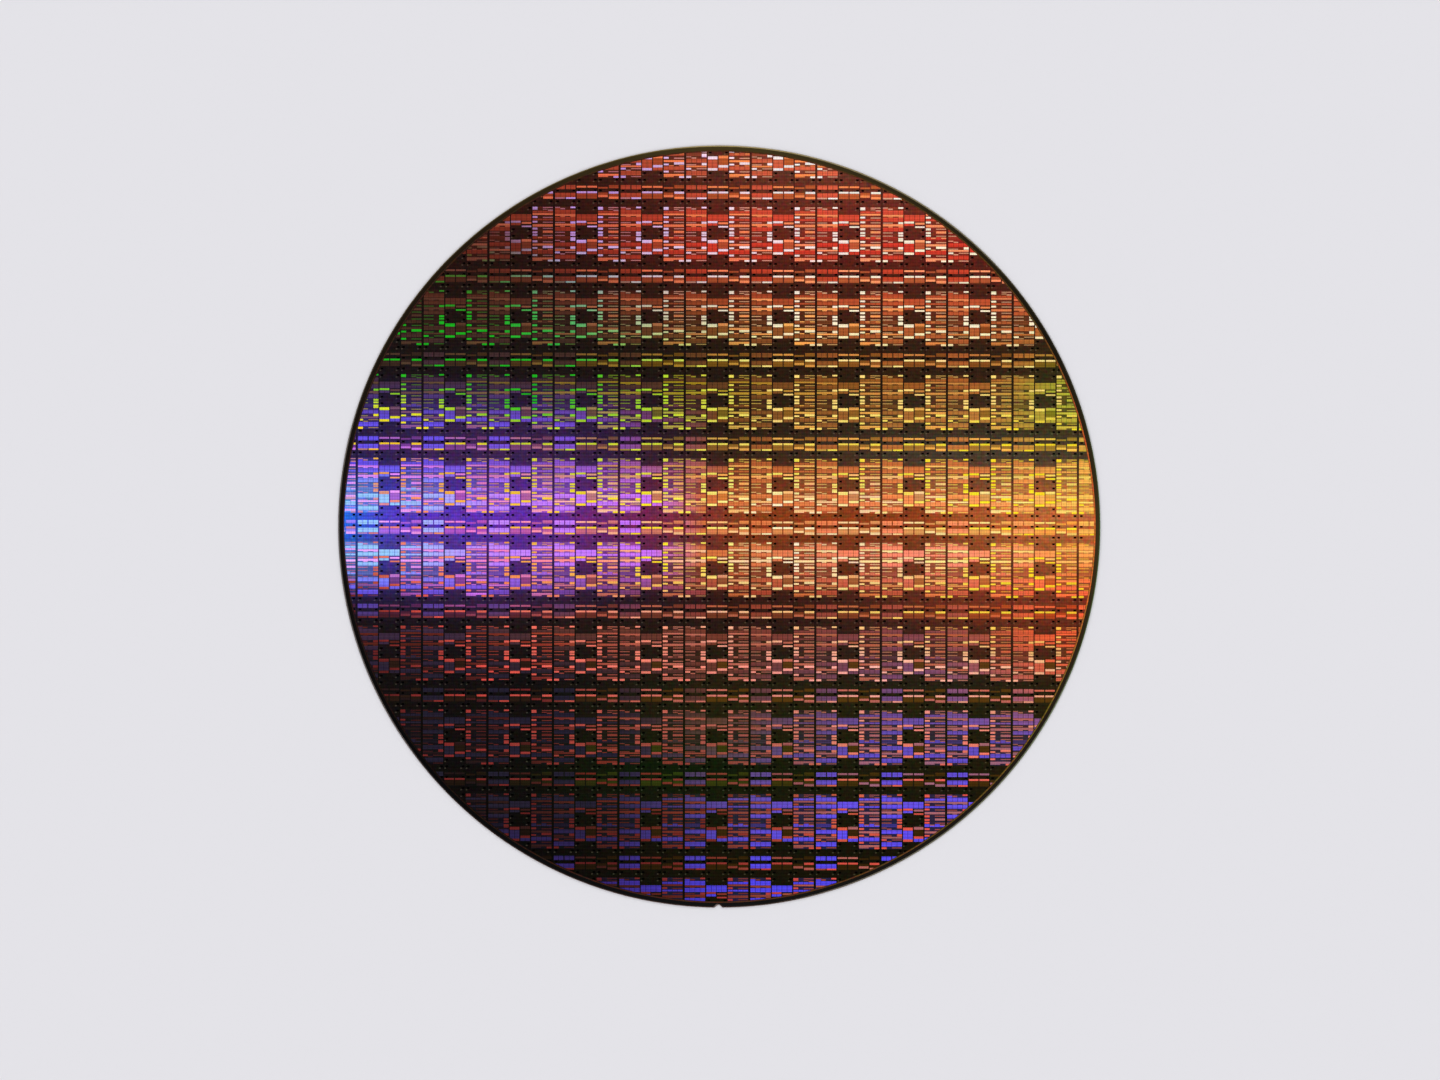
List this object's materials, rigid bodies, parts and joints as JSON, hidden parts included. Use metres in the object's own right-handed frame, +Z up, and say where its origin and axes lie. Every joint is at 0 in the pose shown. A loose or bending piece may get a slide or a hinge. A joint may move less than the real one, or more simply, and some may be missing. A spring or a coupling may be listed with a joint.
{
  "type": "silicon wafer",
  "caption": "Thin round silicon wafer with a bevelled edge, an orientation notch and a grid of printed circuit blocks separated by streets.",
  "frame": {"origin": "centre of the back face, on the surface that the wafer lies on", "axes": "+Z up, out of the printed face; -Y towards the notch; +X to the right as the picture shows the printed face"},
  "size_m": [0.3, 0.3, 0.0008],
  "materials": {
    "printed_silicon": "polished silicon under thin printed films that show rainbow colours"
  },
  "bodies": {
    "root": {"wafer": "printed_silicon"}
  },
  "joints": []
}
